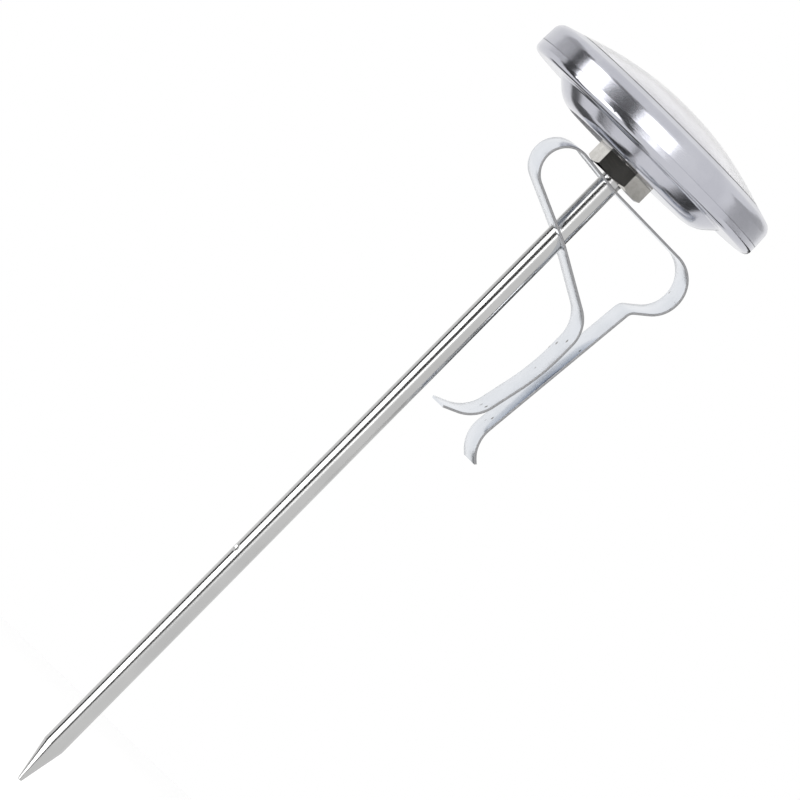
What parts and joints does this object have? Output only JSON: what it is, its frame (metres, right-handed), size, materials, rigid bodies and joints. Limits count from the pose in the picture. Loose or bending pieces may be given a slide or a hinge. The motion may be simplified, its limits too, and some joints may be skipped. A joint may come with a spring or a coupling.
{
  "type": "soil thermometer probe",
  "caption": "Round dial thermometer on a long pointed metal stem, with a hexagon nut under the dial and a bent spring clip that slides on the stem.",
  "frame": {"origin": "on the stem's axis, at the lower face of the hexagon nut", "axes": "+Z along the stem towards the dial, so -Z points at the tip; the clip bends in the XZ plane with its legs towards +X"},
  "size_m": [0.045, 0.045, 0.1432],
  "materials": {
    "stem_steel": "drawn stainless tube polished lengthwise",
    "nut_steel": "warm grey mill finish with turning marks",
    "case_steel": "polished stainless pressing",
    "bezel_steel": "polished stainless ring",
    "spring_steel": "bright rolled spring strip with grey sheared edges",
    "clear_plastic": "clear domed moulding",
    "dial_white": "matt white enamel with black print",
    "support_plastic": "white moulded ring",
    "gasket_rubber": "dark moulded rubber",
    "brass": "turned brass",
    "staff_steel": "ground steel wire",
    "bimetal": "rolled bimetal strip",
    "pointer_red": "satin red enamel",
    "washer_steel": "plain steel"
  },
  "bodies": {
    "probe": {"stem_tube": "stem_steel", "probe_tip": "stem_steel", "calibration_nut": "nut_steel", "retaining_collar": "brass", "friction_washer": "washer_steel", "upper_bush": "brass", "lower_bush": "brass", "coil_anchor": "brass", "bimetal_coil": "bimetal"},
    "head": {"case_back": "case_steel", "bezel_ring": "bezel_steel", "lens": "clear_plastic", "lens_gasket": "gasket_rubber", "dial_plate": "dial_white", "dial_support": "support_plastic", "seal_washer": "gasket_rubber"},
    "pointer": {"coil_ferrule": "brass", "pointer_staff": "staff_steel", "pointer_hub": "brass", "pointer_needle": "pointer_red", "pointer_cap": "pointer_red"},
    "clip": {"clip_strip": "spring_steel"},
    "clip_jaw": {"clip_jaw": "spring_steel"}
  },
  "joints": [
    {"name": "head_calibrate", "type": "hinge", "parent": "probe", "child": "head", "pos_m": [0, 0, 0], "axis": [0, 0, 1], "continuous": true},
    {"name": "pointer_turn", "type": "hinge", "parent": "probe", "child": "pointer", "pos_m": [0, 0, 0], "axis": [0, 0, -1], "range_deg": [-120, 160], "stiffness_Nm_per_rad": 0.00002, "deforming": ["bimetal_coil"]},
    {"name": "clip_slide", "type": "slide", "parent": "probe", "child": "clip", "axis": [0, 0, -1], "range_m": [0, 0.105]},
    {"name": "clip_jaw_flex", "type": "hinge", "parent": "clip", "child": "clip_jaw", "pos_m": [0.02035, 0, -0.0063], "axis": [0, -1, 0], "range_deg": [0, 8], "stiffness_Nm_per_rad": 0.12}
  ]
}
